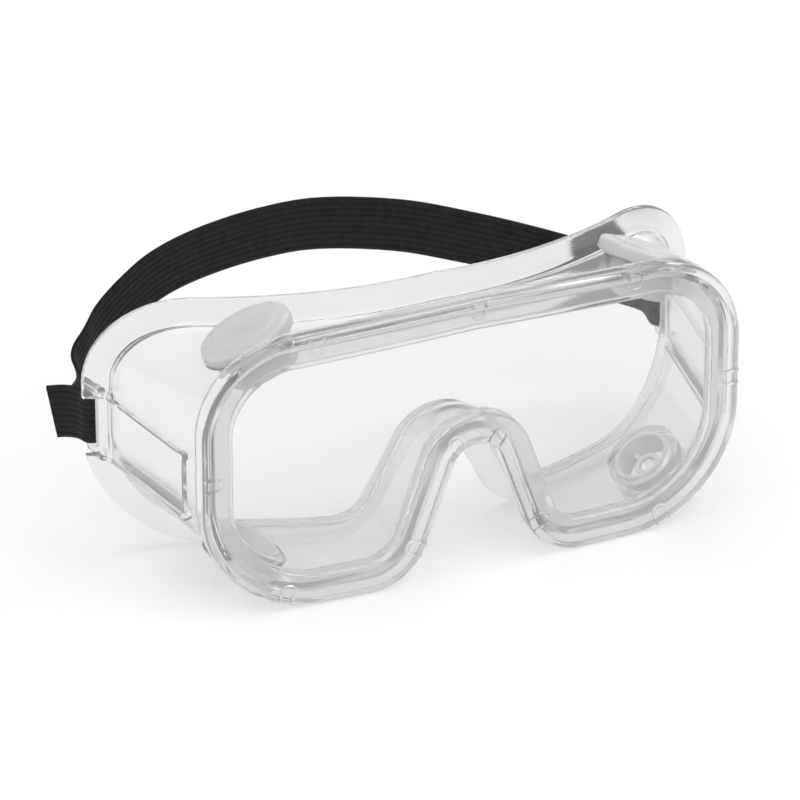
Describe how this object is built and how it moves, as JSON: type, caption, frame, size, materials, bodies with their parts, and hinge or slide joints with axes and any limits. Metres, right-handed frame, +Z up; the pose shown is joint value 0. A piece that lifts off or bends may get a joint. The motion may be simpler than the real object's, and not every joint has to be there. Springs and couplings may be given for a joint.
{
  "type": "safety goggles",
  "caption": "Indirect-vent splash goggles: soft clear frame with a face flange, clear curved lens, capped vents and a flat black elastic headband.",
  "frame": {"origin": "middle of the underside of the whole object's box; the goggles stand on Z = 0", "axes": "+X towards the wearer's left, -Y forwards out through the lens, +Z up"},
  "size_m": [0.1936, 0.1012, 0.0835],
  "materials": {
    "clear_soft_plastic": "clear flexible PVC, glossy, faintly grey at its edges",
    "clear_lens": "clear polished polycarbonate",
    "white_plastic": "translucent white, satin",
    "clear_vent_plastic": "clear hard plastic, satin",
    "black_elastic": "woven elastic with fine lengthwise ribs"
  },
  "bodies": {
    "frame": {"frame_body": "clear_soft_plastic", "lens": "clear_lens", "headband": "black_elastic", "vent_bush_upper_left": "white_plastic", "vent_bush_upper_right": "white_plastic", "vent_bush_lower_left": "clear_vent_plastic", "vent_bush_lower_right": "clear_vent_plastic"},
    "cap_upper_left": {"vent_cap_upper_left": "white_plastic"},
    "cap_upper_right": {"vent_cap_upper_right": "white_plastic"},
    "cap_lower_left": {"vent_cap_lower_left": "clear_vent_plastic"},
    "cap_lower_right": {"vent_cap_lower_right": "clear_vent_plastic"}
  },
  "joints": [
    {"name": "cap_upper_left_pull", "type": "slide", "parent": "frame", "child": "cap_upper_left", "axis": [0.4006, 0.1736, 0.8997], "range_m": [0, 0.008]},
    {"name": "cap_upper_right_pull", "type": "slide", "parent": "frame", "child": "cap_upper_right", "axis": [-0.4006, 0.1736, 0.8997], "range_m": [0, 0.008]},
    {"name": "cap_lower_left_pull", "type": "slide", "parent": "frame", "child": "cap_lower_left", "axis": [0.5443, 0.0349, -0.8382], "range_m": [0, 0.006]},
    {"name": "cap_lower_right_pull", "type": "slide", "parent": "frame", "child": "cap_lower_right", "axis": [-0.5443, 0.0349, -0.8382], "range_m": [0, 0.006]}
  ]
}
